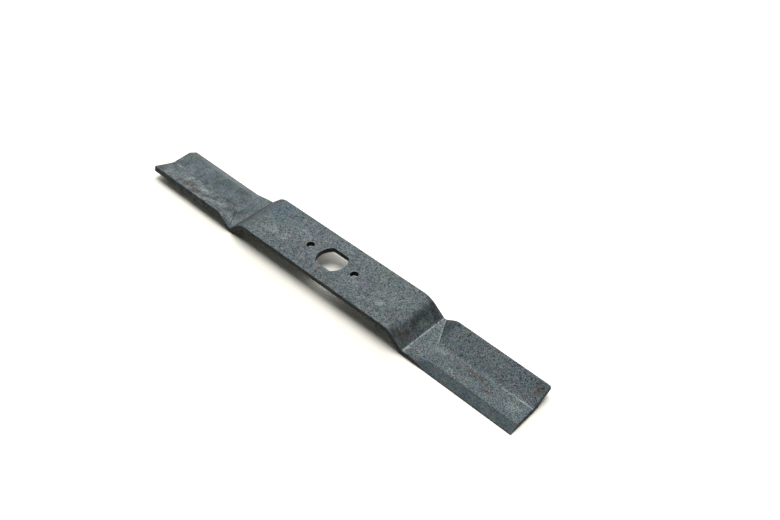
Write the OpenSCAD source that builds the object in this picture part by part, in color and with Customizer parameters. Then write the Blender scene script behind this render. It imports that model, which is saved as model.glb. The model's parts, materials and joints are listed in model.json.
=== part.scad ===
// Rotary mower blade: one steel strip with a keyed centre hole, a step down at each side of the hub
// and two winged cutting ends.
// X runs along the blade, Y across it, Z up; the hole axis is x = y = 0 and the wings rest on z = 0.

/* [Strip] */
// Width of the flat strip (mm)
strip_w = 50; // [44:1:56]
// Thickness of the steel (mm)
thick = 5; // [4:0.5:6]
// Length from cutting tip to cutting tip (mm)
blade_len = 431.5; // [400:0.5:500]
// Rounding of the strip's long edges (mm)
edge_r = 0.7; // [0.3:0.1:1.2]

/* [Centre holes] */
// Diameter of the round ends of the centre hole (mm)
hole_d = 27.5; // [25:0.5:31]
// Width between the two flats of the centre hole (mm)
hole_flats = 21.6; // [18:0.2:24]
// Diameter of the two drive-pin holes (mm)
pin_d = 7; // [5:0.5:9]
// Distance between the two drive-pin holes (mm)
pin_pitch = 52.4; // [46:0.2:64]

/* [Step] */
// Place where the hub's top face would meet the slope, from the middle (mm)
step_x = 88.4; // [82:0.2:96]
// How far the wings lie below the hub (mm)
step_drop = 13.5; // [10:0.1:16]
// Slope of the step (degrees)
step_angle = 41; // [34:1:46]
// Radius of the bend at the hub, on the top face (mm)
bend_r = 18; // [9:1:20]
// Radius of the crease at the foot of the slope, on the top face (mm)
crease_r = 2; // [1:0.5:4]

/* [Sail] */
// How far the sail turns up (degrees)
sail_angle = 21; // [10:0.5:28]
// Bend line of the sail at its inner end, from the strip's middle (mm)
sail_line = 0.6; // [-3:0.2:3]
// How far the bend line moves outward by the tip (mm)
sail_drift = 2.2; // [0:0.2:4]
// Half width of the rounded part of the bend (mm)
sail_soft = 2.5; // [1:0.5:5]
// How far the slanting dart crease reaches past the crease of the step (mm)
dart_run = 14.6; // [9:0.2:20]
// Length over which the sail's edge rises (mm)
dart_rise = 16.5; // [12:0.5:28]

/* [Cutting edge] */
// Width of the ground bevel (mm)
bevel_w = 8; // [5:0.5:11]
// Length over which the bevel grows to its full width (mm)
bevel_run = 24; // [14:1:34]
// Thickness left at the cutting edge (mm)
edge_t = 0.6; // [0.4:0.1:1.2]
// Length over which the cutting edge thins (mm)
thin_run = 22; // [8:1:34]
// Angle of the cut ends (degrees)
end_skew = 2.9; // [0:0.1:6]
// How far the tip lies toward the cutting side (mm)
sweep = 1.35; // [0:0.05:2]
// Corner radius of the sail at the tip (mm)
corner_r = 1; // [0.6:0.2:4]

/* [Hidden] */
$fn = 96;

hub_z = thick + step_drop;
half_w = strip_w / 2;
tip_x = blade_len / 2;
bend_x = step_x - bend_r * tan(step_angle / 2);
slope_len = (step_drop - (bend_r + crease_r) * (1 - cos(step_angle))) / sin(step_angle);
crease_x = bend_x + (bend_r + crease_r) * sin(step_angle) + slope_len * cos(step_angle);
root_x = ceil(crease_x * 2) / 2;
dart_x = root_x + dart_run;

// Steps along the blade and rows across it
steps_bend = 10;
steps_crease = 4;
steps_flat = 5;
steps_rise = 9;
steps_wing = 8;
rows_flat = 4;
rows_bend = 6;
rows_sail = 8;
cols = steps_flat + steps_rise + steps_wing + 1;
rows = rows_flat + rows_bend + rows_sail + 5;

function mix(a, b, t) = a + (b - a) * t;
function clamp(t) = min(1, max(0, t));

// Edge rounding in three rows: the share of edge_r in from the edge, and the share below the face
edge_in = [0, 0.29, 1];
edge_down = [1, 0.29, 0];
function edge_row(j) = j < 3 ? j : j >= rows - 3 ? rows - 1 - j : 2;

// Part of the wing's length that lies behind x
function along(x) = clamp((x - root_x) / (tip_x - root_x));

// Strip place of the sail's bend line, and the plan shift of the strip
function line_at(x) = sail_line + sail_drift * along(x);
function shift_at(x) = -sweep * along(x);

// Strip place where the bevel begins, and how far the edge has thinned
function bevel_at(x) = -half_w + mix(edge_r, bevel_w, clamp((x - root_x) / bevel_run));
function thinned(x) = clamp((x - root_x) / thin_run);

// Rise of the sail behind the dart: a crease at first, then a soft run into the full angle
function soft(t) = (t * t * (3 - 2 * t) + sin(90 * t)) / 2;

// Height gained across the bend for a strip place w past the bend line, and its slope
function fold(w) = w <= -sail_soft ? 0 : w >= sail_soft ? w : pow(w + sail_soft, 2) / (4 * sail_soft);
function fold_d(w) = clamp((w + sail_soft) / (2 * sail_soft));

// Share of the sail's width at strip place c, the start and end of its rise there, and its angle at x
function share(c) = clamp((c - sail_line) / (half_w - sail_line));
function rise_from(c) = mix(dart_x, root_x + 0.8, share(c));
function rise_to(c) = rise_from(c) + mix(3, dart_rise, share(c));
function turn(x, c) = sail_angle * soft(clamp((x - rise_from(c)) / (rise_to(c) - rise_from(c))));

// Point of the folded wing at place x along it and c across it, at a depth below its top face
function wing_at(x, c, depth) =
    let (w = c - line_at(x), a = turn(x, c), g = fold(w), d = fold_d(w))
    let (s = atan2(d * sin(a), 1 - d * (1 - cos(a))))
    [x, c + shift_at(x) - g * (1 - cos(a)) + depth * sin(s), thick + g * sin(a) - depth * cos(s)];

// Depth of row j below the top face: rounded at the sail's edge, ground thin at the cutting edge
function wing_depth(x, j, upper) =
    let (t = thinned(x), down = edge_down[edge_row(j)])
    j >= 2 ? (upper ? down * edge_r : thick - down * edge_r) :
    !upper ? thick - down * edge_r * (1 - t) :
    mix(edge_r, thick - edge_t, t) * mix(down, 1 - edge_in[j], t);

// The cut end: a slanting line with a rounded corner at the sail
function end_x(y, far) =
    let (d = min(corner_r, max(0, y - (far - corner_r))))
    tip_x - tan(end_skew) * (y + half_w + sweep) - corner_r + sqrt(pow(corner_r, 2) - pow(d, 2));

// Strip places across the wing at x: cutting edge, bevel, flat, bend, sail, rounded edge
function places(x) =
    let (b = bevel_at(x), m = line_at(x))
    [
        for (e = [0 : 1]) mix(-half_w, b, edge_in[e]),
        for (k = [0 : rows_flat - 1]) mix(b, m - sail_soft, k / rows_flat),
        for (k = [0 : rows_bend - 1]) mix(m - sail_soft, m + sail_soft, k / rows_bend),
        for (k = [0 : rows_sail]) mix(m + sail_soft, half_w - edge_r, sin(90 * k / rows_sail)),
        for (e = [1 : -1 : 0]) half_w - edge_r * edge_in[e]
    ];

// Places along the wing for strip place c
function station(i, c, end) =
    i <= steps_flat ? mix(root_x, rise_from(c), i / steps_flat) :
    i <= steps_flat + steps_rise ? mix(rise_from(c), rise_to(c), (i - steps_flat) / steps_rise) :
    mix(rise_to(c), end, (i - steps_flat - steps_rise) / steps_wing);

// One row of points across the wing, on the top face or on the underside
function wing_row(i, upper) =
    let (tips = places(tip_x), far = wing_at(tip_x, half_w, wing_depth(tip_x, rows - 1, upper)).y)
    [
        for (j = [0 : rows - 1])
            let (end = end_x(wing_at(tip_x, tips[j], wing_depth(tip_x, j, upper)).y, far))
            let (c = places(station(i, tips[j], end))[j], x = station(i, c, end))
            wing_at(x, c, wing_depth(x, j, upper))
    ];

// Side view of hub, bend, slope and crease on the top face: [x, z, slope]
side_view = [
    for (k = [0 : steps_bend])
        let (a = step_angle * k / steps_bend)
        [bend_x + bend_r * sin(a), hub_z - bend_r * (1 - cos(a)), a],
    for (k = [steps_crease : -1 : 1])
        let (a = step_angle * k / steps_crease)
        [crease_x - crease_r * sin(a), thick + crease_r * (1 - cos(a)), a]
];

// One row of points across the strip; its rows are even at the hub and meet the wing's rows at the root
function strip_row(k, upper) =
    let (s = side_view[k], root = places(root_x), inner = half_w - edge_r)
    [
        for (j = [0 : rows - 1])
            let (down = edge_down[edge_row(j)] * edge_r, d = upper ? down : thick - down)
            let (even = mix(-inner, inner, (j - 2) / (rows - 5)))
            let (y = edge_row(j) < 2 ? root[j] : mix(even, root[j], k / len(side_view)))
            [s.x - d * sin(s.z), y, s.y - d * cos(s.z)]
    ];

// All rows from the hub to the tip, and the same turned half round about the hole axis
function half_rows(upper) = [
    for (k = [0 : len(side_view) - 1]) strip_row(k, upper),
    for (i = [0 : cols - 1]) wing_row(i, upper)
];
function turned(row) = [for (j = [len(row) - 1 : -1 : 0]) [-row[j].x, -row[j].y, row[j].z]];
function all_rows(upper) =
    let (half = half_rows(upper))
    [
        for (k = [len(half) - 1 : -1 : 0]) turned(half[k]),
        for (row = half) row
    ];

// The bent, creased and ground strip before its holes are made
module strip() {
    top = all_rows(true);
    under = all_rows(false);
    last = len(top) - 1;
    n = len(top) * rows;
    function at(i, j) = i * rows + j;
    faces = [
        for (i = [0 : last - 1]) for (j = [0 : rows - 2]) each [
            [at(i, j), at(i + 1, j + 1), at(i + 1, j)],
            [at(i, j), at(i, j + 1), at(i + 1, j + 1)],
            [n + at(i, j), n + at(i + 1, j), n + at(i + 1, j + 1)],
            [n + at(i, j), n + at(i + 1, j + 1), n + at(i, j + 1)]
        ],
        for (i = [0 : last - 1]) each [
            [at(i, 0), at(i + 1, 0), n + at(i + 1, 0)],
            [at(i, 0), n + at(i + 1, 0), n + at(i, 0)],
            [at(i, rows - 1), n + at(i + 1, rows - 1), at(i + 1, rows - 1)],
            [at(i, rows - 1), n + at(i, rows - 1), n + at(i + 1, rows - 1)]
        ],
        for (j = [0 : rows - 2]) each [
            [at(0, j), n + at(0, j + 1), at(0, j + 1)],
            [at(0, j), n + at(0, j), n + at(0, j + 1)],
            [at(last, j), at(last, j + 1), n + at(last, j + 1)],
            [at(last, j), n + at(last, j + 1), n + at(last, j)]
        ]
    ];
    points = [for (row = top) each row, for (row = under) each row];
    polyhedron(points = points, faces = faces, convexity = 6);
}

// Keyed centre hole and the two pin holes
module holes() {
    intersection() {
        translate([0, 0, step_drop - 1])
            cylinder(h = thick + 2, d = hole_d);
        translate([-hole_d, -hole_flats / 2, step_drop - 2])
            cube([2 * hole_d, hole_flats, thick + 4]);
    }
    for (s = [-1, 1])
        translate([s * pin_pitch / 2, 0, step_drop - 1])
            cylinder(h = thick + 2, d = pin_d);
}

module blade() {
    color([0.36, 0.37, 0.39])
        difference() {
            strip();
            holes();
        }
}

blade();
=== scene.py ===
"""Looks of the rotary mower blade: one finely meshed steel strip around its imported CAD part."""
import json
import math
from types import SimpleNamespace

import bpy
import numpy as np
from mathutils import Matrix, Vector, noise
from mathutils.geometry import delaunay_2d_cdt


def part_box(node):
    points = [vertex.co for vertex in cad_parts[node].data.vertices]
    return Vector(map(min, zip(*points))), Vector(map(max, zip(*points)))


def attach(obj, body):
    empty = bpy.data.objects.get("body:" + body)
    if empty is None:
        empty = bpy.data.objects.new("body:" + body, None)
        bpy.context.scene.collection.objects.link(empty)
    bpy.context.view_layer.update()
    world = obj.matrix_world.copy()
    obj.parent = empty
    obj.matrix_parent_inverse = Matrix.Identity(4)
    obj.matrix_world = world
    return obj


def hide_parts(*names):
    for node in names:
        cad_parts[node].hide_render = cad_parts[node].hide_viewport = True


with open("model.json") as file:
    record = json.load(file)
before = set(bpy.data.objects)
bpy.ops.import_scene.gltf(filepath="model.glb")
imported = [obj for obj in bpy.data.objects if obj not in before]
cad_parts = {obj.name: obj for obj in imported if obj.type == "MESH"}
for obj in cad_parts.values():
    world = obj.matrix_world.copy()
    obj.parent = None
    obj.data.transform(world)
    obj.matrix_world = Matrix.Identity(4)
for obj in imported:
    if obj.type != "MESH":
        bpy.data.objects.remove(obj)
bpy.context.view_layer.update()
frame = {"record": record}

MM = 0.001

# Sizes that the frame gives
NODE = "blade"
SLOT = "scaled_steel"
MOUNTS = {m["name"]: m for m in frame["record"]["mounts"]}
CAD_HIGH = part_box(NODE)[1]
HUB_Z = MOUNTS["hub_top"]["pos_m"][2]
STEP_DROP = MOUNTS["hub_underside"]["pos_m"][2]
THICK = HUB_Z - STEP_DROP
TIP_X = CAD_HIGH.x
PIN_X = MOUNTS["pin_holes"]["dims"]["spacing_x_mm"] * MM / 2
PIN_R = MOUNTS["pin_holes"]["dims"]["hole_r_mm"] * MM

# Driving sizes of the form, as in the part's source
SWEEP = 1.35 * MM
HALF_W = CAD_HIGH.y - SWEEP
EDGE_R = 0.7 * MM
HOLE_R = 13.75 * MM
HOLE_FLAT = 10.8 * MM
STEP_X = 88.4 * MM
STEP_ANGLE = math.radians(41)
BEND_R = 18 * MM
CREASE_R = 2 * MM
SAIL_ANGLE = math.radians(21)
SAIL_LINE = 0.6 * MM
SAIL_DRIFT = 2.2 * MM
SAIL_SOFT = 2.5 * MM
DART_RUN = 14.6 * MM
DART_GAP = 0.8 * MM
DART_RISE = 16.5 * MM
DART_SHARP = 3 * MM
BEVEL_W = 8 * MM
BEVEL_RUN = 24 * MM
EDGE_T = 0.6 * MM
THIN_RUN = 22 * MM
END_SKEW = math.radians(2.9)
CORNER_R = 1 * MM

# Places along the bent strip: s is the length along its top face from the hole axis
BEND_X = STEP_X - BEND_R * math.tan(STEP_ANGLE / 2)
SLOPE_LEN = (STEP_DROP - (BEND_R + CREASE_R) * (1 - math.cos(STEP_ANGLE))) / math.sin(STEP_ANGLE)
CREASE_X = BEND_X + (BEND_R + CREASE_R) * math.sin(STEP_ANGLE) + SLOPE_LEN * math.cos(STEP_ANGLE)
ROOT_X = math.ceil(CREASE_X / MM * 2) / 2 * MM
DART_X = ROOT_X + DART_RUN
S_SLOPE = BEND_X + BEND_R * STEP_ANGLE
S_CREASE = S_SLOPE + SLOPE_LEN
S_FLAT = S_CREASE + CREASE_R * STEP_ANGLE
S_ROOT = S_FLAT + ROOT_X - CREASE_X

# Mesh steps, and the small roundings of holes and ends that the solids leave sharp
STEP = 1.0 * MM
HUB_CUT = 36 * MM
RIM_R = 0.45 * MM
END_R = 0.45 * MM
EDGE_STEPS = 9
FOLD_ROWS = 8
BEND_STATIONS = 15
SLOPE_STATIONS = 14
CREASE_STATIONS = 6
FLAT_STATIONS = 14
RISE_STATIONS = 22
WALL_STEPS = 5
RIM_STEPS = 4
KEY_ARC = 35
KEY_FLAT = 22
PIN_STEPS = 32
WELD = 0.002 * MM

# Extra rows close to a crease, as shares of the stretch they lie in
EDGE_LAST = 0.975
FLAT_FIRST = 0.02
FLAT_LAST = 0.97

# Most that the end's rounding takes of half the thickness, and the room it needs in the last step
END_SHARE = 0.6
END_ROOM = 1.5

# Gap between the hub's grid and the hole rims, and the margin that tells triangles inside a hole
GRID_GAP = 0.45 * STEP
HOLE_INSIDE = RIM_R * 0.98

# How strongly the cut ends are darkened as side walls, partly as the sheared steel's own darker colour and
# partly as painted shade
END_CUT = 0.85


def mix(a, b, t):
    return a + (b - a) * t


def clamp(t):
    return np.clip(t, 0.0, 1.0)


def ramp(t, a, b):
    """Smooth step from 0 at a to 1 at b."""
    u = clamp((t - a) / (b - a))
    return u * u * (3 - 2 * u)


def along(x):
    return clamp((x - ROOT_X) / (TIP_X - ROOT_X))


def line_at(x):
    return SAIL_LINE + SAIL_DRIFT * along(x)


def bevel_at(x):
    return -HALF_W + mix(EDGE_R, BEVEL_W, clamp((x - ROOT_X) / BEVEL_RUN))


def thinned(x):
    return clamp((x - ROOT_X) / THIN_RUN)


def fold(w):
    inside = (w + SAIL_SOFT) ** 2 / (4 * SAIL_SOFT)
    return np.where(w <= -SAIL_SOFT, 0.0, np.where(w >= SAIL_SOFT, w, inside))


def fold_slope(w):
    return clamp((w + SAIL_SOFT) / (2 * SAIL_SOFT))


def share(c):
    return clamp((c - SAIL_LINE) / (HALF_W - SAIL_LINE))


def rise_from(c):
    return mix(DART_X, ROOT_X + DART_GAP, share(c))


def rise_to(c):
    return rise_from(c) + mix(DART_SHARP, DART_RISE, share(c))


def turn(x, c):
    t = clamp((x - rise_from(c)) / (rise_to(c) - rise_from(c)))
    return SAIL_ANGLE * (t * t * (3 - 2 * t) + np.sin(t * math.pi / 2)) / 2


def wing_at(x, c, depth):
    """Point of a wing at place x along it and c across it, depth below its top face."""
    w = c - line_at(x)
    a, g, d = turn(x, c), fold(w), fold_slope(w)
    s = np.arctan2(d * np.sin(a), 1 - d * (1 - np.cos(a)))
    y = c - SWEEP * along(x) - g * (1 - np.cos(a)) + depth * np.sin(s)
    return np.stack([x, y, THICK + g * np.sin(a) - depth * np.cos(s)], -1)


def side_view(s):
    """x, z and slope of the top face at length s along it, up to the wing's root."""
    bend = np.clip((s - BEND_X) / BEND_R, 0, STEP_ANGLE)
    run = np.clip(s - S_SLOPE, 0, SLOPE_LEN)
    back = STEP_ANGLE - np.clip((s - S_CREASE) / CREASE_R, 0, STEP_ANGLE)
    x = np.minimum(s, BEND_X) + BEND_R * np.sin(bend) + run * math.cos(STEP_ANGLE)
    x = x + CREASE_R * (math.sin(STEP_ANGLE) - np.sin(back)) + np.maximum(0, s - S_FLAT)
    z = HUB_Z - BEND_R * (1 - np.cos(bend)) - run * math.sin(STEP_ANGLE)
    z = z - CREASE_R * (np.cos(back) - math.cos(STEP_ANGLE))
    return x, z, np.where(s < S_CREASE, bend, back)


def strip_at(s, c, depth):
    x, z, a = side_view(s)
    return np.stack([x - depth * np.sin(a), c, z - depth * np.cos(a)], -1)


def blade_at(s, c, depth):
    """Point of the +X half at length s, strip place c and depth below the top face."""
    s, c, depth = np.broadcast_arrays(s, c, depth)
    wing = wing_at(side_view(s)[0], c, depth)
    return np.where((s > S_ROOT)[..., None], wing, strip_at(s, c, depth))


class Rows:
    """The rows of one face across the strip, from the cutting edge to the sail's edge."""

    def __init__(self):
        phi = np.append(np.arange(EDGE_STEPS - 1) / (EDGE_STEPS - 1), EDGE_LAST) * math.pi / 2
        self.inset, self.down = 1 - np.cos(phi), 1 - np.sin(phi)
        flat = int(round((HALF_W - BEVEL_W) / STEP))
        sail = int(round((HALF_W - SAIL_SOFT) / STEP))
        self.flat = np.insert(np.arange(flat) / flat, 1, FLAT_FIRST)
        self.bend = np.arange(FOLD_ROWS) / FOLD_ROWS
        self.sail = np.arange(sail + 1) / sail
        self.inner = len(self.flat) + len(self.bend) + len(self.sail)
        self.count = self.inner + 2 * EDGE_STEPS

    def places(self, x):
        """Strip place of each row; x holds each row's place along the wing in its last axis."""
        e, n = EDGE_STEPS, self.inner
        b, m = bevel_at(x), line_at(x)
        c = np.empty(x.shape)
        c[..., :e] = -HALF_W + self.inset * (b[..., :e] + HALF_W)
        parts = np.cumsum([e, len(self.flat), len(self.bend), len(self.sail)])
        f, d, s = (slice(parts[k], parts[k + 1]) for k in range(3))
        c[..., f] = mix(b[..., f], m[..., f] - SAIL_SOFT, self.flat)
        c[..., d] = mix(m[..., d] - SAIL_SOFT, m[..., d] + SAIL_SOFT, self.bend)
        c[..., s] = mix(m[..., s] + SAIL_SOFT, HALF_W - EDGE_R, self.sail)
        c[..., e + n:] = HALF_W - EDGE_R * self.inset[::-1]
        return c

    def depths(self, x, upper):
        """Depth of each row below the top face, for the top face or the underside."""
        e = EDGE_STEPS
        t = thinned(x[..., :e])
        d = np.zeros(x.shape)
        if upper:
            d[..., :e] = mix(EDGE_R, THICK - EDGE_T, t) * mix(self.down, 1 - self.inset, t)
            d[..., -e:] = EDGE_R * self.down[::-1]
        else:
            d[...] = THICK
            d[..., :e] = THICK - self.down * EDGE_R * (1 - t)
            d[..., -e:] = THICK - EDGE_R * self.down[::-1]
        return d


ROWS = Rows()


def hub_stations():
    """Lengths s from the edge of the hub's middle patch to the wing's root."""
    bend = np.linspace(BEND_X, S_SLOPE, BEND_STATIONS)
    slope = np.linspace(S_SLOPE, S_CREASE, SLOPE_STATIONS)
    crease = np.linspace(S_CREASE, S_FLAT, CREASE_STATIONS)
    hub = np.linspace(HUB_CUT, BEND_X, int(round((BEND_X - HUB_CUT) / STEP)) + 1)
    return np.concatenate([hub[:-1], bend[:-1], slope[:-1], crease])


def even_rows():
    """Strip places of the rows at the hub, where the inner rows are evenly spaced."""
    c = ROWS.places(np.full(ROWS.count, ROOT_X))
    inner = slice(EDGE_STEPS, EDGE_STEPS + ROWS.inner)
    c[inner] = np.linspace(-HALF_W + EDGE_R, HALF_W - EDGE_R, ROWS.inner)
    return c


def hub_grid(upper):
    s = hub_stations()[:, None] * np.ones(ROWS.count)
    x = np.full(s.shape, ROOT_X)
    t = ramp(s, HUB_CUT, S_ROOT)
    c = mix(even_rows(), ROWS.places(x), t)
    return s, c, ROWS.depths(x, upper)


def wing_steps():
    """Shares of the three stretches of a wing: before the rise, along it and after it."""
    flat = np.insert(np.linspace(0, 1, FLAT_STATIONS), -1, FLAT_LAST)
    rise = np.linspace(0, 1, RISE_STATIONS)[1:]
    wing = np.linspace(0, 1, int(round((TIP_X - DART_X - DART_RISE / 2) / STEP)))[1:]
    return flat, rise, wing


def stations(c, end):
    """x of every station of a wing for the rows at strip places c, which end at x = end."""
    flat, rise, wing = (k[:, None] for k in wing_steps())
    a, b = rise_from(c), rise_to(c)
    return np.concatenate([mix(ROOT_X, a, flat), mix(a, b, rise), mix(b, end, wing)])


def end_at(y, far):
    """x of the cut end at y: a slanting line with a rounded corner at the sail."""
    d = np.clip(y - (far - CORNER_R), 0, CORNER_R)
    slant = TIP_X - math.tan(END_SKEW) * (y + HALF_W + SWEEP)
    return slant - CORNER_R + np.sqrt(CORNER_R ** 2 - d ** 2)


def wing_grid(upper):
    tip = np.full(ROWS.count, TIP_X)
    c_tip = ROWS.places(tip)
    y = wing_at(tip, c_tip, ROWS.depths(tip, upper))[:, 1]
    end = end_at(y, y[-1])
    c = ROWS.places(stations(c_tip, end))
    x = np.stack([stations(row, end)[i] for i, row in enumerate(c)])
    return x - ROOT_X + S_ROOT, c, ROWS.depths(x, upper)


def round_end(top, under):
    """Adds the rounded edge of the cut end to the grids of both faces."""
    half = (under[2][-1] - top[2][-1]) / 2
    r = np.minimum(END_R, END_SHARE * half)
    turns = [k / RIM_STEPS * math.pi / 2 for k in range(1, RIM_STEPS + 1)]
    made = []
    for (s, c, d), sign in ((top, 1), (under, -1)):
        last = s[-1]
        inset = r * np.minimum(1, (last - s[-2]) / (END_ROOM * r))
        rim_s = [last - inset * (1 - math.sin(a)) for a in turns]
        rim_d = [d[-1] + sign * r * (1 - math.cos(a)) for a in turns]
        s = np.concatenate([s[:-1], [last - inset], rim_s])
        c = np.concatenate([c, np.repeat(c[-1:], RIM_STEPS, 0)])
        made.append((s, c, np.concatenate([d, rim_d])))
    return made


def half_grids():
    """Top and under grids (s, c, depth) of the +X half, from the hub's patch to the end face."""
    wing_top, wing_under = round_end(wing_grid(True), wing_grid(False))
    made = []
    for upper, wing in ((True, wing_top), (False, wing_under)):
        hub = hub_grid(upper)
        made.append(tuple(np.concatenate([h, w]) for h, w in zip(hub, wing)))
    return made


class Shell:
    """Collects patches of points with their strip coordinates, then welds them into one mesh."""

    def __init__(self):
        self.points, self.strip, self.cut, self.faces = [], [], [], []
        self.count = 0

    def add(self, points, strip, faces, cut=0.0):
        self.points.append(points.reshape(-1, 3))
        self.strip.append(strip.reshape(-1, 3))
        self.cut.append(np.broadcast_to(cut, len(self.points[-1])))
        self.faces += [[i + self.count for i in f] for f in faces]
        self.count += len(self.points[-1])

    def grid(self, points, strip, flip=False, cut=0.0):
        n, m = points.shape[:2]
        at = np.arange(n * m).reshape(n, m)
        quads = np.stack([at[:-1, :-1], at[1:, :-1], at[1:, 1:], at[:-1, 1:]], -1).reshape(-1, 4)
        self.add(points, strip, (quads[:, ::-1] if flip else quads).tolist(), cut)

    def weld(self):
        points, strip, cut = (np.concatenate(a) for a in (self.points, self.strip, self.cut))
        keys = np.round(points / WELD).astype(np.int64)
        _, first, where = np.unique(keys, axis=0, return_index=True, return_inverse=True)
        where = where.ravel()
        faces = []
        for f in self.faces:
            g = [int(where[i]) for i in f]
            g = [v for k, v in enumerate(g) if v != g[k - 1]]
            if len(set(g)) == len(g) > 2:
                faces.append(g)
        strongest = np.zeros(len(first))
        np.maximum.at(strongest, where, cut)
        return points[first], strip[first], strongest, faces


def both_halves(shell, s, c, depth, flip=False, cut=0.0):
    """Adds a grid of the +X half and the same grid turned half round the hole axis."""
    points = blade_at(s, c, depth)
    strip = np.stack(np.broadcast_arrays(s, c, depth), -1)
    turned = np.array([-1.0, -1.0, 1.0])
    shell.grid(points, strip, flip, cut)
    shell.grid(points * turned, strip * turned, flip, cut)


def wall(top, under, row):
    """Grid down the side of the strip, between the edge rows of its two faces."""
    t = np.linspace(0, 1, WALL_STEPS + 1)
    s = mix(top[0][:, row, None], under[0][:, row, None], t)
    c = mix(top[1][:, row, None], under[1][:, row, None], t)
    d = mix(top[2][:, row, None], under[2][:, row, None], t)
    return s, c, d


def end_face(top, under):
    t = np.linspace(0, 1, WALL_STEPS + 1)[:, None]
    return tuple(mix(a[-1], b[-1], t) for a, b in zip(top, under))


def hole_outlines():
    """Outlines of the three holes as functions of an offset outward, each with its centre."""

    def key(offset):
        r, flat = HOLE_R + offset, HOLE_FLAT + offset
        a = math.asin(flat / r)
        arc = np.linspace(-a, a, KEY_ARC)
        right = np.stack([r * np.cos(arc), r * np.sin(arc)], -1)
        x = np.linspace(right[-1, 0], -right[-1, 0], KEY_FLAT)[1:-1]
        half = np.concatenate([right, np.stack([x, np.full(len(x), flat)], -1)])
        return np.concatenate([half, -half])

    def pin(offset):
        a = np.arange(PIN_STEPS) / PIN_STEPS * 2 * math.pi
        return (PIN_R + offset) * np.stack([np.cos(a), np.sin(a)], -1)

    return [(key, 0.0), (pin, PIN_X), (pin, -PIN_X)]


def in_hole(plan, margin):
    """Whether places in plan lie in one of the holes, grown by a margin."""
    x, y = plan[..., 0], plan[..., 1]
    pin = np.hypot(np.abs(x) - PIN_X, y) < PIN_R + margin
    key = (np.hypot(x, y) < HOLE_R + margin) & (np.abs(y) < HOLE_FLAT + margin)
    return pin | key


def hub_plan():
    """Points and triangles of the hub's middle patch in plan, with the holes left open."""
    xs = np.linspace(-HUB_CUT, HUB_CUT, int(round(2 * HUB_CUT / STEP)) + 1)
    ys = even_rows()[EDGE_STEPS:EDGE_STEPS + ROWS.inner]
    grid = np.stack(np.meshgrid(xs, ys, indexing="ij"), -1).reshape(-1, 2)
    grid = grid[~in_hole(grid, RIM_R + GRID_GAP)]
    rings = [outline(RIM_R) + np.array([x, 0.0]) for outline, x in hole_outlines()]
    edges, start = [], len(grid)
    for ring in rings:
        n = len(ring)
        edges += [(start + k, start + (k + 1) % n) for k in range(n)]
        start += n
    plan = np.concatenate([grid] + rings)
    made = delaunay_2d_cdt([Vector(p / MM) for p in plan], edges, [], 0, 1e-6)
    origin = [o[0] for o in made[3]]
    faces = [[origin[v] for v in f] for f in made[2]]
    return xs, plan, [f for f in faces if not in_hole(plan[f].mean(0), HOLE_INSIDE)]


def add_hub_faces(shell, plan, triangles):
    """The flat middle of the hub, on top and underneath."""
    for z, depth, turn_over in ((HUB_Z, 0.0, False), (STEP_DROP, THICK, True)):
        points = np.column_stack([plan, np.full(len(plan), z)])
        strip = np.column_stack([plan, np.full(len(plan), depth)])
        shell.add(points, strip, [f[::-1] for f in triangles] if turn_over else triangles)


def add_hub_sides(shell, xs):
    """The strip's rounded edges and its side walls beside the hub's middle."""
    x = np.full((len(xs), ROWS.count), ROOT_X)
    s = xs[:, None] * np.ones(ROWS.count)
    c = even_rows() * np.ones(x.shape)
    top, under = (s, c, ROWS.depths(x, True)), (s, c, ROWS.depths(x, False))
    low, high = slice(0, EDGE_STEPS + 1), slice(ROWS.count - EDGE_STEPS - 1, ROWS.count)
    for part in (low, high):
        for face, flip in ((top, False), (under, True)):
            add_flat(shell, *(a[:, part] for a in face), flip)
    for row, flip in ((0, True), (-1, False)):
        add_flat(shell, *wall(top, under, row), flip)


def add_hole_walls(shell):
    """The walls of the three holes with their rounded rims."""
    t = np.linspace(0, math.pi / 2, RIM_STEPS + 1)
    straight = np.linspace(RIM_R, THICK - RIM_R, WALL_STEPS)[1:-1]
    rim_in, rim_out = RIM_R * (1 - np.sin(t)), RIM_R * (1 - np.cos(t))
    offsets = np.concatenate([rim_in, np.zeros(len(straight)), rim_out])
    downs = np.concatenate([rim_out, straight, THICK - rim_in])
    inside = ramp(downs, 0.1 * MM, 0.5 * MM) * ramp(THICK - downs, 0, RIM_R)
    for outline, x in hole_outlines():
        rings = np.stack([outline(o) + np.array([x, 0.0]) for o in offsets])
        rings = np.concatenate([rings, rings[:, :1]], 1)
        depth = downs[:, None] * np.ones(rings.shape[1])
        points = np.concatenate([rings, (HUB_Z - depth)[..., None]], -1)
        strip = np.concatenate([rings, depth[..., None]], -1)
        shell.grid(points, strip, True, np.repeat(inside, rings.shape[1]))


def add_hub(shell):
    """The middle of the hub: its faces, the strip's edges beside them and the walls of the holes."""
    xs, plan, triangles = hub_plan()
    add_hub_faces(shell, plan, triangles)
    add_hub_sides(shell, xs)
    add_hole_walls(shell)


def add_flat(shell, s, c, depth, flip):
    s, c, depth = np.broadcast_arrays(s, c, depth)
    shell.grid(np.stack([s, c, HUB_Z - depth], -1), np.stack([s, c, depth], -1), flip)


def build_shell():
    shell = Shell()
    top, under = half_grids()
    both_halves(shell, *top)
    both_halves(shell, *under, flip=True)
    both_halves(shell, *wall(top, under, 0), flip=True)
    both_halves(shell, *wall(top, under, -1))
    both_halves(shell, *end_face(top, under), cut=END_CUT)
    add_hub(shell)
    return shell.weld()
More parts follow.
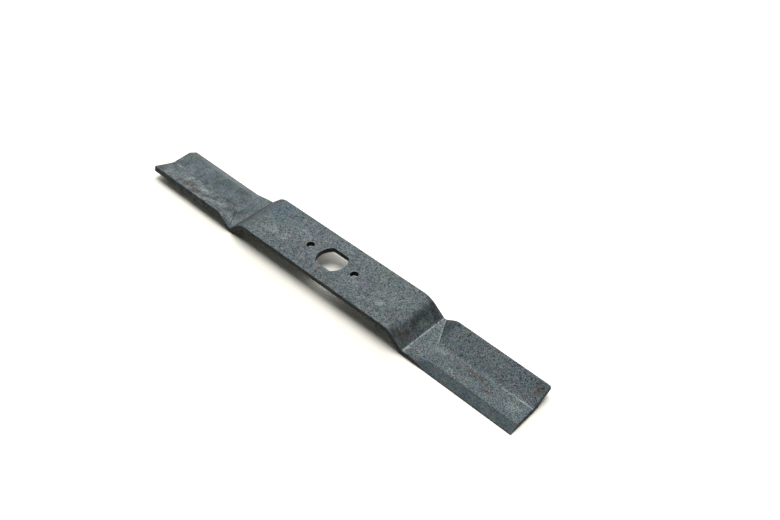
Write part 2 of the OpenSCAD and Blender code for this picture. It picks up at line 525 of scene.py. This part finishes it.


# Marks of use, with painted sheen among them, listed one by one, in millimetres: place along and across,
# half size along and across, and amount. They lie where the top face shows them; the underside has them
# turned over.
RUST = (
    (-176, -15.5, 8, 4, 1.3), (-163, -18, 8, 3.5, 1.0), (-150, -16, 5, 4, 0.5), (-127, 5, 5, 4, 0.6),
    (166, -4, 8, 5, 0.7), (182, -8, 9, 4, 0.74), (174, -3, 10, 4, 0.62), (97, -17, 6, 6, 0.85),
    (94, 22, 4, 4, 0.85), (80, -13, 8, 7, 0.55), (58, -14, 7, 5, 0.45), (212, 18, 6, 8, 0.72),
    (6, -18, 24, 6, 0.36), (27, 7, 7, 6, 0.4),
)
# Whitish coating; on the left sail these marks are partly real light patches and partly painted sheen.
PALE_AND_SHEEN = (
    (-180, -7, 9, 5.5, 1.3), (-166, -9, 6, 5, 1.0), (-151, -9, 8, 7, 1.1), (-136, -16, 12, 8, 1.15),
    (-160, -10, 60, 14, 0.5), (-210, -2, 6, 1.2, 0.9), (-120, -18, 7, 7, 1.15), (-66, -9, 7, 6, 1.0),
    (-50, -9, 8, 7, 0.6), (-45, 8, 26, 14, 0.42), (4, 18, 26, 6, 0.4), (64, -9.5, 5, 3.5, 0.8),
    (112, 15, 2.5, 5, 0.7), (132, -3, 10, 3, 0.7), (206, -7, 11, 6, 0.6), (150, -13, 3, 2, 1.0),
    (20.5, -8, 1.3, 1.1, 1.5), (65.5, 8, 1.1, 1, 1.7), (-165, 21.5, 60, 4, 0.75), (-146, -22, 15, 4, 1.0),
    (-203, -21, 8, 4, 0.7),
)
SOOT = (
    (97, 2, 3, 8, 0.6), (96, 12, 5, 13, 0.5), (96, 23, 7, 4, 0.75), (98, -16, 6, 8, 0.6),
    (145.5, 3.9, 1.8, 1.5, 1.3), (160, -3, 2.0, 1.4, 1.2), (164, -6.5, 1.7, 1.3, 1.1), (213, 18, 6, 9, 0.5),
    (118, 18, 6, 8, 0.3), (90, 24, 10, 2.5, 0.6), (0, -18, 26, 7, 0.2), (-205, 4, 12, 9, 0.14),
    (-155, 12, 15, 6, 0.2), (152, -6, 2.2, 1.5, 1.0), (148, -9, 1.6, 1.2, 1.0), (157, -9, 1.8, 1.2, 0.9),
    (139, -5, 1.5, 1.2, 0.9), (171, -2, 1.6, 1.2, 0.9), (-177, -15.5, 6, 2.6, 0.5), (-166, -17, 6, 2.2, 0.4),
    (113, -21.5, 8, 2.6, 0.55),
)
GREEN = (
    (-208, 17, 8, 8, 0.8), (-155, 12, 14, 6, 0.7), (-113, 12, 5, 9, 0.7), (-121, -5, 5, 5, 0.8),
    (-67, -7, 8, 8, 0.7), (53, 16, 9, 8, 0.8), (113, 11, 4, 9, 0.6), (99, 6, 7, 12, 0.8),
    (208, -5, 9, 6, 0.7), (130, 21, 10, 4, 0.5),
)
VIOLET = (
    (-195, 5, 10, 6, 0.6), (-143, 2.5, 11, 5, 0.8), (-26, 8, 7, 8, 0.6), (-21, -5, 8, 8, 0.7),
    (-48, -2, 9, 6, 0.6), (37, -4, 10, 6, 0.7), (148, 15, 16, 7, 0.7), (153, -1, 10, 5, 0.6),
    (180, 7, 14, 5, 0.7),
)


def spots(s, c, marks):
    """Soft field of the marks at the places s, c."""
    field = np.zeros(len(s))
    for at_s, at_c, half_s, half_c, amount in marks:
        u, v = (s / MM - at_s) / half_s, (c / MM - at_c) / half_c
        field = np.maximum(field, amount * np.exp(-u * u - v * v))
    return field


def bell(d, width):
    return np.exp(-(d / width) ** 2)


def on_end(s, c):
    """Strip places of either half as length, place across and x along the wing of the +X half."""
    side = np.where(s < 0, -1.0, 1.0)
    a = s * side
    return a, c * side, a - S_ROOT + ROOT_X


def foot_line(a, cc):
    """Worn line along the crease at the foot of the step, wider on the side of the bevel."""
    by_bevel = ramp(-cc, 12 * MM, 18 * MM)
    line = (S_CREASE + S_FLAT) / 2 + 0.9 * MM * by_bevel
    return bell(a - line, mix(0.65, 1.7, by_bevel) * MM) * ramp(HALF_W - np.abs(cc), 0, 1 * MM)


def crease_lines(s, c, upper):
    """Bright worn lines along the creases, and a painted shadow along the dart's crease."""
    left = s < 0
    a, cc, x = on_end(s, c)
    dart = x - rise_from(cc)
    on_dart = ramp(cc, 0.5 * MM, 4 * MM)
    bright = bell(dart + 0.4 * MM, 0.6 * MM) * on_dart
    # Painted shadow on the sail's side of the dart crease.
    dart_shadow = bell(dart - 0.9 * MM, 0.9 * MM) * on_dart
    # On the left wing the dart's painted shadow is a narrow line, kept off both ends of the crease.
    left_dart_shadow = bell(dart - 0.4 * MM, 0.7 * MM) * ramp(cc, 5 * MM, 8 * MM) * ramp(HALF_W - cc, 2 * MM, 5 * MM)
    tip = 0.2 * ramp(a, 138 * MM, 150 * MM) + ramp(a, 185 * MM, 195 * MM)
    bend = bell(cc - line_at(x) + 0.8 * MM, 0.32 * MM) * tip
    lines = (
        np.where(left, 0.15, 0.9) * foot_line(a, cc),
        np.where(left, 0.0, 0.8) * bright,
        np.where(left, 0.4, 1.0) * bend,
    )
    return upper * np.maximum.reduce(lines), upper * np.where(left, 1.4 * left_dart_shadow, dart_shadow)


def hole_rim(points):
    """Nearness to the rims of the holes on the hub's faces."""
    x, y = points[:, 0], points[:, 1]
    key = np.maximum(np.hypot(x, y) - HOLE_R, np.abs(y) - HOLE_FLAT)
    pin = np.hypot(np.abs(x) - PIN_X, y) - PIN_R
    return bell(np.minimum(np.abs(key), np.abs(pin)) - 0.2 * MM, 0.35 * MM)


def side_wall(s, c, depth, cut):
    """1 on the sheared sides, the cut ends and the walls of the holes, where the colour is darkened partly
    as the sheared steel's own darker colour and partly as painted shade.
    """
    side = ramp(np.abs(c), HALF_W - 0.7 * MM, HALF_W - 0.25 * MM)
    side = side * ramp(depth, 0.05 * MM, 0.5 * MM) * ramp(THICK - depth, -0.2 * MM, 0.2 * MM)
    return np.maximum(side * (1 - 0.25 * ramp(-s, 105 * MM, 125 * MM)), cut)


def ground(s, c, depth):
    """1 on the two ground bevels."""
    _, cc, x = on_end(s, c)
    inside = ramp(bevel_at(x) - cc, -0.2 * MM, 0.5 * MM) * ramp(x, ROOT_X + 2 * MM, ROOT_X + 8 * MM)
    return inside * ramp(THICK - depth, 0.2 * MM, 0.5 * MM)


def texture_field(s, c, bevel):
    """Strength of the grain, the pits and the cloudy tone, roughest on the right wing."""
    right = ramp(s, 122 * MM, 136 * MM)
    sail = right * ramp(c, 1.5 * MM, 4 * MM)
    flat = right * (1 - sail) * (1 - bevel)
    left = ramp(-s, 95 * MM, 125 * MM)
    smooth = np.maximum(left, 0.6 * ramp(-s, 45 * MM, 70 * MM))
    fold_zone = ramp(s, 84 * MM, 93 * MM) * ramp(-s, -111 * MM, -107 * MM)
    triangle = ramp(s, 106 * MM, 109 * MM) * ramp(-s, -126 * MM, -120 * MM)
    grain = 1 - 0.2 * smooth - 0.15 * fold_zone - 0.4 * bevel + 0.15 * flat + 0.3 * triangle
    pits = 0.25 + 0.75 * sail + 0.3 * flat - 0.25 * smooth - 0.25 * fold_zone - 0.25 * bevel
    cloudy = 0.65 * left + 0.5 * left * ramp(-c, 0, 3 * MM) + 0.8 * fold_zone
    cloudy = 0.35 + cloudy * (1 - 0.7 * bevel)
    return np.stack([np.clip(grain, 0.3, 1.3), np.clip(pits, 0, 1), cloudy], -1)


def tint_field(s, c, bevel, place):
    """Amounts of blue, green and violet."""
    blue = 0.9 * ramp(-s, 15 * MM, 40 * MM) * ramp(c, -4 * MM, 6 * MM)
    blue = blue + 0.8 * bevel + 0.5 * ramp(s, 88 * MM, 112 * MM)
    return np.stack([np.clip(blue, 0, 1), spots(*place, GREEN), spots(*place, VIOLET)], -1)


def stain_and_painted_light_field(s, upper, dart_shadow, place):
    """Amounts of rust, whitish coating with painted sheen, and sooty darkening with painted shade."""
    a = np.abs(s)
    web = ramp(a, S_SLOPE - 12 * MM, S_SLOPE + 2 * MM) * ramp(S_CREASE + 1 * MM - a, 0, 1.5 * MM)
    right = ramp(s, 122 * MM, 136 * MM)
    # Sooty spots, and painted shade: the dart's painted shadow, the slopes of the steps darkened (the left
    # one more) and the right wing a little darker as a whole.
    soot_and_shade = spots(*place, SOOT), 0.8 * dart_shadow, upper * web * np.where(s < 0, 0.7, 0.2), 0.1 * right
    return np.stack([spots(*place, RUST), spots(*place, PALE_AND_SHEEN), np.maximum.reduce(soot_and_shade)], -1)


def surface_fields(points, strip, cut):
    """Vector attributes of the steel at each vertex: stains with painted sheen and shade; tints; worn lines,
    walls with painted shade, and bevels; texture.
    """
    s, c, depth = strip.T
    upper = 1 - ramp(depth, 0.6 * MM, 2 * MM)
    bevel = ground(s, c, depth)
    bright, dart_shadow = crease_lines(s, c, upper)
    bright = np.maximum(bright, 0.45 * hole_rim(points) * (cut < 0.5))
    under = depth > THICK - 0.5 * MM
    place = np.where(under, -0.92 * s, s), np.where(under, -c, c)
    return {
        "stain_and_painted_light": stain_and_painted_light_field(s, upper, dart_shadow, place),
        "tint": tint_field(s, c, bevel, place),
        "wear_and_wall_shade": np.stack([bright, side_wall(s, c, depth, cut), bevel], -1),
        "texture": texture_field(s, c, bevel),
    }


# Relief of the rolled steel, pressed inward from the ideal form
RELIEF = ((14 * MM, 0.08 * MM), (5 * MM, 0.05 * MM), (2.2 * MM, 0.03 * MM))


def press_relief(points, normals):
    depth = np.zeros(len(points))
    for size, height in RELIEF:
        depth += height * np.array([0.5 + 0.5 * noise.noise(Vector(p / size)) for p in points])
    return points - normals * depth[:, None]


def make_piece():
    points, strip, cut, faces = build_shell()
    mesh = bpy.data.meshes.new("blade_steel")
    mesh.from_pydata(points.tolist(), [], faces)
    normals = np.empty(len(points) * 3)
    mesh.vertices.foreach_get("normal", normals)
    mesh.vertices.foreach_set("co", press_relief(points, normals.reshape(-1, 3)).ravel())
    for name, field in surface_fields(points, strip, cut).items():
        mesh.attributes.new(name, "FLOAT_VECTOR", "POINT").data.foreach_set("vector", field.ravel())
    mesh.polygons.foreach_set("use_smooth", [True] * len(mesh.polygons))
    mesh.update()
    piece = bpy.data.objects.new("blade_steel", mesh)
    bpy.context.scene.collection.objects.link(piece)
    return piece


class Nodes:
    """Short calls for building a node tree."""

    def __init__(self, tree):
        self.tree = tree

    def add(self, kind, **settings):
        node = self.tree.nodes.new(kind)
        for name, value in settings.items():
            setattr(node, name, value)
        return node

    def put(self, socket, value):
        if isinstance(value, bpy.types.NodeSocket):
            self.tree.links.new(value, socket)
        else:
            socket.default_value = value

    def math(self, operation, a, b):
        node = self.add("ShaderNodeMath", operation=operation)
        self.put(node.inputs[0], a)
        self.put(node.inputs[1], b)
        return node.outputs[0]

    def times(self, a, b):
        return self.math("MULTIPLY", a, b)

    def plus(self, a, b):
        return self.math("ADD", a, b)

    def minus(self, a, b):
        return self.math("SUBTRACT", a, b)

    def swing(self, value, strength):
        """A value from 0 to 1 as a swing about 0."""
        return self.times(self.minus(value, 0.5), strength)

    def most(self, a, b):
        return self.math("MAXIMUM", a, b)

    def ramp(self, value, low, high, start=0.0, end=1.0):
        node = self.add("ShaderNodeMapRange", interpolation_type="SMOOTHSTEP")
        for socket, number in zip(node.inputs, (value, low, high, start, end)):
            self.put(socket, number)
        return node.outputs["Result"]

    def noise(self, place, size, seed, detail=2.0, rough=0.55):
        node = self.add("ShaderNodeTexNoise", noise_dimensions="4D")
        settings = {"Vector": place, "W": seed, "Scale": 1 / size, "Detail": detail, "Roughness": rough}
        for name, value in settings.items():
            self.put(node.inputs[name], value)
        return node.outputs["Fac"]

    def cells(self, place, size):
        node = self.add("ShaderNodeTexVoronoi")
        self.put(node.inputs["Vector"], place)
        self.put(node.inputs["Scale"], 1 / size)
        chance = self.add("ShaderNodeSeparateColor")
        self.put(chance.inputs[0], node.outputs["Color"])
        return node.outputs["Distance"], chance.outputs[0]

    def blend(self, factor, a, b):
        node = self.add("ShaderNodeMix", data_type="RGBA")
        for socket, value in zip((node.inputs[0], node.inputs[6], node.inputs[7]), (factor, a, b)):
            self.put(socket, value)
        return node.outputs[2]

    def shade(self, color, factor):
        node = self.add("ShaderNodeVectorMath", operation="SCALE")
        self.put(node.inputs[0], color)
        self.put(node.inputs["Scale"], factor)
        return node.outputs[0]

    def field(self, name):
        source = self.add("ShaderNodeAttribute", attribute_name=name)
        split = self.add("ShaderNodeSeparateXYZ")
        self.put(split.inputs[0], source.outputs["Vector"])
        return tuple(split.outputs)


# Colours of the steel
SCALE_BLUE = (0.090, 0.130, 0.150, 1)
SCALE_GREY = (0.114, 0.139, 0.147, 1)
TEMPER_VIOLET = (0.126, 0.130, 0.158, 1)
TEMPER_GREEN = (0.099, 0.145, 0.136, 1)
TEMPER_BROWN = (0.144, 0.138, 0.130, 1)
# Colour of the whitish coating, also used for painted sheen on the left sail.
PALE_FILM_AND_SHEEN = (0.212, 0.243, 0.249, 1)
BARE_STEEL = (0.36, 0.40, 0.415, 1)
RUST_BROWN = (0.158, 0.136, 0.118, 1)
RUST_DARK = (0.066, 0.056, 0.050, 1)


# Sizes of the steel's noise and cells, and its finish
CLOUD, MOTTLE, TEMPER = 16 * MM, 6 * MM, 6 * MM
SPECKLE, CLUMP, FINE = 1.0 * MM, 2.4 * MM, 0.5 * MM
BREAK_UP, FLAKE = 3 * MM, 1.4 * MM
PIT, SPECK = 2.4 * MM, 4.5 * MM
ROUGH, METAL = 0.58, 0.6
BUMP_STRENGTH, BUMP_DEPTH = 0.5, 0.12 * MM


def steel_noise(n, place, pits):
    """Noise of the steel from broad clouds to fine speckle, with its pits and bright specks."""
    far, chance = n.cells(place, PIT)
    far_speck, speck_chance = n.cells(place, SPECK)
    return SimpleNamespace(
        cloud=n.ramp(n.noise(place, CLOUD, 1.0, 3.0), 0.34, 0.66),
        mottle=n.ramp(n.noise(place, MOTTLE, 2.0, 3.0), 0.32, 0.68),
        speckle=n.ramp(n.noise(place, SPECKLE, 3.0, 2.0, 0.6), 0.34, 0.66),
        clump=n.ramp(n.noise(place, CLUMP, 9.0, 2.0), 0.32, 0.68),
        break_up=n.noise(place, BREAK_UP, 4.0, 4.0, 0.65),
        flake=n.noise(place, FLAKE, 5.0, 3.0, 0.6),
        pit=n.times(n.ramp(far, 0.36, 0.18), n.math("LESS_THAN", chance, n.times(pits, 0.75))),
        speck=n.times(n.ramp(far_speck, 0.16, 0.09), n.math("LESS_THAN", speck_chance, 0.35)),
    )


def scale_color(n, place, g, blue, green, violet):
    """Blue to grey mill scale with patches of temper colour."""
    grey = n.minus(n.plus(0.62, n.times(g.cloud, 0.5)), n.times(blue, 0.62))
    color = n.blend(n.ramp(grey, 0.0, 1.0), SCALE_BLUE, SCALE_GREY)
    tempers = (6.0, TEMPER_VIOLET, violet), (7.0, TEMPER_GREEN, green), (8.0, TEMPER_BROWN, 0.0)
    for seed, temper, zone in tempers:
        patch = n.plus(n.noise(place, TEMPER, seed, 4.0, 0.65), n.times(zone, 0.2))
        color = n.blend(n.ramp(patch, 0.46, 0.72, 0.0, 0.75), color, temper)
    return color


def under_film_sheen_and_rust(n, color, g, pale_and_sheen, brown):
    """The colour under its whitish coating, which on the left sail is partly painted sheen, then under rust.
    """
    film_and_sheen = n.ramp(n.plus(pale_and_sheen, n.times(g.break_up, 0.9)), 0.7, 1.2)
    color = n.blend(n.times(film_and_sheen, 0.75), color, PALE_FILM_AND_SHEEN)
    rust_tone = n.blend(n.ramp(g.clump, 0.2, 0.7), RUST_DARK, RUST_BROWN)
    return n.blend(n.times(brown, 0.75), color, rust_tone)


def grained(n, color, g, grain, cloudy):
    """The colour with its patchy tone and its speckle."""
    patchy = n.plus(n.swing(g.mottle, 0.6), n.swing(g.cloud, 0.35))
    color = n.shade(color, n.plus(1.0, n.times(patchy, cloudy)))
    spread = n.plus(n.swing(g.speckle, 1.25), n.swing(g.clump, 0.4))
    return n.shade(color, n.plus(1.0, n.times(spread, grain)))


def used(n, color, g, worn, soot_and_shade, side):
    """The colour with bare specks and worn lines, darkened in pits, under sooty marks and painted shade, and
    on side walls.
    """
    for amount, strength in ((g.speck, 0.55), (worn, 0.65)):
        color = n.blend(n.times(amount, strength), color, BARE_STEEL)
    # The side amount darkens walls, cut ends and hole walls, partly as the sheared steel's own darker colour
    # and partly as painted shade.
    for amount, strength in ((g.pit, 0.55), (soot_and_shade, 0.55), (side, 0.82)):
        color = n.shade(color, n.minus(1.0, n.times(amount, strength)))
    return color


def steel_bump(n, place, g):
    height = n.plus(n.times(g.speckle, 0.5), n.times(n.noise(place, FINE, 10.0, 2.0), 0.35))
    bump = n.add("ShaderNodeBump")
    bump.inputs["Strength"].default_value = BUMP_STRENGTH
    bump.inputs["Distance"].default_value = BUMP_DEPTH
    n.put(bump.inputs["Height"], n.minus(height, n.times(g.pit, 0.8)))
    return bump.outputs["Normal"]


def scaled_steel():
    """Dark rolled steel under mill scale: mottled, speckled, pitted, with rust and worn creases, and with
    painted shade and sheen.
    """
    material = bpy.data.materials.new(SLOT)
    material.use_nodes = True
    n = Nodes(material.node_tree)
    shader = material.node_tree.nodes["Principled BSDF"]
    place = n.add("ShaderNodeTexCoord").outputs["Object"]
    rust, pale_and_sheen, soot_and_shade = n.field("stain_and_painted_light")
    bright, side, bevel = n.field("wear_and_wall_shade")
    grain, pits, cloudy = n.field("texture")
    g = steel_noise(n, place, pits)
    brown = n.ramp(n.plus(rust, n.times(g.flake, 1.5)), 1.05, 1.5)
    worn = n.times(bright, n.ramp(g.break_up, 0.34, 0.54))
    color = scale_color(n, place, g, *n.field("tint"))
    color = grained(n, under_film_sheen_and_rust(n, color, g, pale_and_sheen, brown), g, grain, cloudy)
    dull = n.most(brown, side)
    rough = n.plus(n.plus(ROUGH, n.times(g.mottle, 0.12)), n.times(dull, 0.2))
    rough = n.minus(rough, n.times(n.most(worn, n.times(bevel, 0.5)), 0.18))
    n.put(shader.inputs["Base Color"], used(n, color, g, worn, soot_and_shade, side))
    n.put(shader.inputs["Roughness"], rough)
    n.put(shader.inputs["Metallic"], n.minus(METAL, n.times(dull, 0.5)))
    n.put(shader.inputs["Normal"], steel_bump(n, place, g))
    return material


# Camera, placed for a picture 780 pixels wide
PHOTO_W, PHOTO_H = 780, 520
FOCAL_PX = 1134.23
VIEW_AZ, VIEW_EL, VIEW_ROLL = (math.radians(v) for v in (44.668, 42.789, 0.383))
VIEW_DIST = 0.9387
HUB_PX = Vector((332.05 - PHOTO_W / 2, PHOTO_H / 2 - 259.20))


def add_camera():
    flat = math.cos(VIEW_EL)
    back = Vector((math.sin(VIEW_AZ) * flat, -math.cos(VIEW_AZ) * flat, math.sin(VIEW_EL)))
    level = Vector((math.cos(VIEW_AZ), math.sin(VIEW_AZ), 0))
    axes = Matrix((level, back.cross(level), back)).transposed()
    axes = axes @ Matrix.Rotation(-VIEW_ROLL, 3, "Z")
    offset = HUB_PX * VIEW_DIST / FOCAL_PX
    data = bpy.data.cameras.new("camera")
    data.sensor_width = 36
    data.lens = FOCAL_PX * data.sensor_width / PHOTO_W
    camera = bpy.data.objects.new("camera", data)
    bpy.context.scene.collection.objects.link(camera)
    place = Vector((0, 0, HUB_Z)) + back * VIEW_DIST - axes.col[0] * offset.x - axes.col[1] * offset.y
    camera.matrix_world = Matrix.Translation(place) @ axes.to_4x4()
    bpy.context.scene.camera = camera


# Floor and light: a wide soft key from above, a white backdrop behind and to the left that fades out
# toward the horizon, and a little fill. The floor has its second colour where it is seen or mirrored.
FLOOR_HALF = 20
FLOOR_GAP = 0.02 * MM
FLOOR_COLOR = (0.6, 0.6, 0.58, 1)
FLOOR_SEEN = (1.28, 1.25, 1.14, 1)
KEY_FROM = Vector((-0.04, 0.15, 1.0))
KEY_ANGLE = math.radians(36)
KEY_POWER = 0.6 * math.pi
BACKDROP_AT = Vector((-0.588, 0.735, 0.343))
BACKDROP_EDGE = (math.cos(math.radians(80)), math.cos(math.radians(10)))
BACKDROP = 1.6
BACKDROP_FOOT = (0.15, 0.4)
FILL = 0.015
FILL_COLOR = (1.0, 0.86, 0.66, 1)


def add_floor():
    h = FLOOR_HALF
    mesh = bpy.data.meshes.new("floor")
    mesh.from_pydata([(-h, -h, 0), (h, -h, 0), (h, h, 0), (-h, h, 0)], [], [(0, 1, 2, 3)])
    floor = bpy.data.objects.new("floor", mesh)
    floor.location.z = -FLOOR_GAP
    bpy.context.scene.collection.objects.link(floor)
    material = bpy.data.materials.new("floor")
    material.use_nodes = True
    n = Nodes(material.node_tree)
    shader = material.node_tree.nodes["Principled BSDF"]
    shader.inputs["Roughness"].default_value = 1.0
    shader.inputs["Specular IOR Level"].default_value = 0.0
    rays = n.add("ShaderNodeLightPath").outputs
    seen = n.most(n.most(rays["Is Camera Ray"], rays["Is Glossy Ray"]), rays["Is Transmission Ray"])
    n.put(shader.inputs["Base Color"], n.blend(seen, FLOOR_COLOR, FLOOR_SEEN))
    mesh.materials.append(material)


def add_light():
    sun = bpy.data.lights.new("key", "SUN")
    sun.energy = KEY_POWER
    sun.angle = KEY_ANGLE
    key = bpy.data.objects.new("key", sun)
    bpy.context.scene.collection.objects.link(key)
    key.rotation_euler = KEY_FROM.to_track_quat("Z", "Y").to_euler()
    world = bpy.data.worlds.new("studio")
    bpy.context.scene.world = world
    world.use_nodes = True
    n = Nodes(world.node_tree)
    toward = n.add("ShaderNodeVectorMath", operation="DOT_PRODUCT")
    direction = n.add("ShaderNodeTexCoord").outputs["Generated"]
    n.put(toward.inputs[0], direction)
    toward.inputs[1].default_value = BACKDROP_AT.normalized()
    height = n.add("ShaderNodeSeparateXYZ")
    n.put(height.inputs[0], direction)
    lobe = n.ramp(toward.outputs["Value"], *BACKDROP_EDGE)
    level = n.times(lobe, n.ramp(height.outputs["Z"], *BACKDROP_FOOT))
    background = world.node_tree.nodes["Background"]
    n.put(background.inputs["Color"], n.blend(n.ramp(level, 0.0, 0.1), FILL_COLOR, (1, 1, 1, 1)))
    n.put(background.inputs["Strength"], n.plus(FILL, n.times(level, BACKDROP)))


piece = make_piece()
piece.data.materials.append(scaled_steel())
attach(piece, "root")
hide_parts(NODE)
add_camera()
add_floor()
add_light()
bpy.context.scene.view_settings.view_transform = "Standard"
